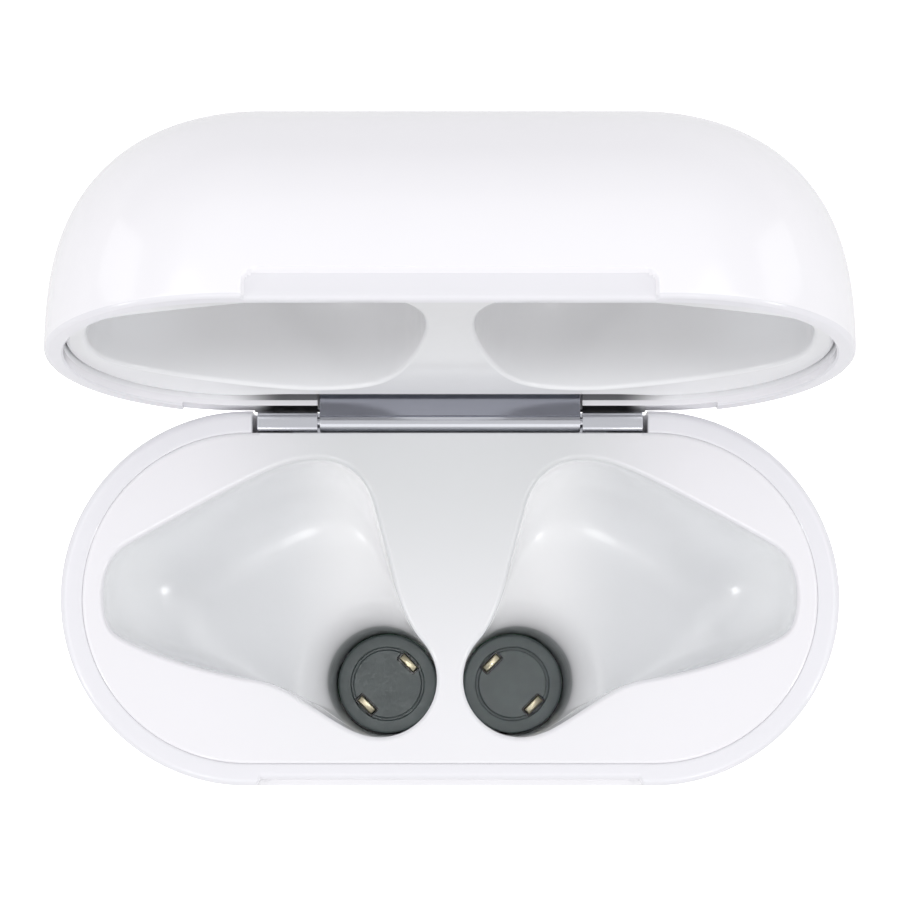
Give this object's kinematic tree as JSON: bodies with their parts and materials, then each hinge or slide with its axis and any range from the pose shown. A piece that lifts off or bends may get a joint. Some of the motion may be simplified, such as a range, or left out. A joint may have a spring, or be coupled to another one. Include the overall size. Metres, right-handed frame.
{
  "type": "wireless earbuds charging case",
  "caption": "Pocket charging case for wireless earbuds: a rounded upright body with teardrop wells, spring contacts and a hinged magnetic lid.",
  "frame": {"origin": "centre of the deck between the two wells, in the plane of the seam between base and lid", "axes": "+Z out of the wells, +Y towards the hinge and the back of the case, +X towards its right-hand well; the lid is modelled standing open"},
  "size_m": [0.0444, 0.0367, 0.0598],
  "materials": {
    "white_gloss": "polished white moulding",
    "white_insert": "white moulding, slightly less polished than the shells",
    "hinge_steel": "polished stainless steel",
    "bracket_steel": "plain pressed stainless steel",
    "port_steel": "satin stainless steel",
    "magnet": "nickel-plated sintered magnet",
    "slate_plastic": "satin slate-grey moulding",
    "contact_gold": "gold-plated contact",
    "spring_steel": "bright spring strip",
    "flex_film": "amber circuit film",
    "battery_pouch": "laminated foil pouch",
    "black_foam": "closed-cell adhesive foam",
    "ferrite": "matte ferrite sheet",
    "coil_copper": "wound enamelled copper",
    "board_green": "solder-masked circuit board",
    "black_component": "moulded black component",
    "clear_plastic": "frosted clear moulding"
  },
  "bodies": {
    "base": {"base_insert": "white_insert", "base_shell": "white_gloss", "battery_cell": "battery_pouch", "battery_foam": "black_foam", "bud_magnet_left": "magnet", "bud_magnet_right": "magnet", "button_bracket": "bracket_steel", "button_switch": "black_component", "charge_port_shell": "port_steel", "charge_port_tongue": "black_component", "charger_chip": "black_component", "charging_coil": "coil_copper", "closure_magnet_left": "magnet", "closure_magnet_right": "magnet", "contact_carrier_left": "slate_plastic", "contact_carrier_right": "slate_plastic", "contact_flex": "flex_film", "contact_spring_left_inner": "spring_steel", "contact_spring_left_outer": "spring_steel", "contact_spring_right_inner": "spring_steel", "contact_spring_right_outer": "spring_steel", "controller_chip": "black_component", "ferrite_sheet": "ferrite", "hinge_base_bracket": "hinge_steel", "hinge_pin": "hinge_steel", "lid_sensor": "black_component", "light_pipe": "clear_plastic", "main_board": "board_green", "port_trim_ring": "port_steel", "sensor_flex": "flex_film", "status_led": "clear_plastic"},
    "lid": {"lid_shell": "white_gloss", "lid_liner": "white_insert", "hinge_lid_leaf": "hinge_steel", "lid_magnet_left": "magnet", "lid_magnet_right": "magnet"},
    "button": {"pairing_button": "white_gloss"},
    "contact_left_inner": {"contact_left_inner": "contact_gold"},
    "contact_left_outer": {"contact_left_outer": "contact_gold"},
    "contact_right_inner": {"contact_right_inner": "contact_gold"},
    "contact_right_outer": {"contact_right_outer": "contact_gold"}
  },
  "joints": [
    {"name": "lid_hinge", "type": "hinge", "parent": "base", "child": "lid", "pos_m": [0, 0.01003, -0.00045], "axis": [-1, 0, 0], "range_deg": [-102.2, 1.5]},
    {"name": "button_press", "type": "slide", "parent": "base", "child": "button", "axis": [0, -1, 0], "range_m": [0, 0.00025]},
    {"name": "contact_left_inner_press", "type": "slide", "parent": "base", "child": "contact_left_inner", "axis": [0, 0, -1], "range_m": [0, 0.0003], "deforming": ["contact_spring_left_inner"]},
    {"name": "contact_left_outer_press", "type": "slide", "parent": "base", "child": "contact_left_outer", "axis": [0, 0, -1], "range_m": [0, 0.0003], "deforming": ["contact_spring_left_outer"]},
    {"name": "contact_right_inner_press", "type": "slide", "parent": "base", "child": "contact_right_inner", "axis": [0, 0, -1], "range_m": [0, 0.0003], "deforming": ["contact_spring_right_inner"]},
    {"name": "contact_right_outer_press", "type": "slide", "parent": "base", "child": "contact_right_outer", "axis": [0, 0, -1], "range_m": [0, 0.0003], "deforming": ["contact_spring_right_outer"]}
  ]
}
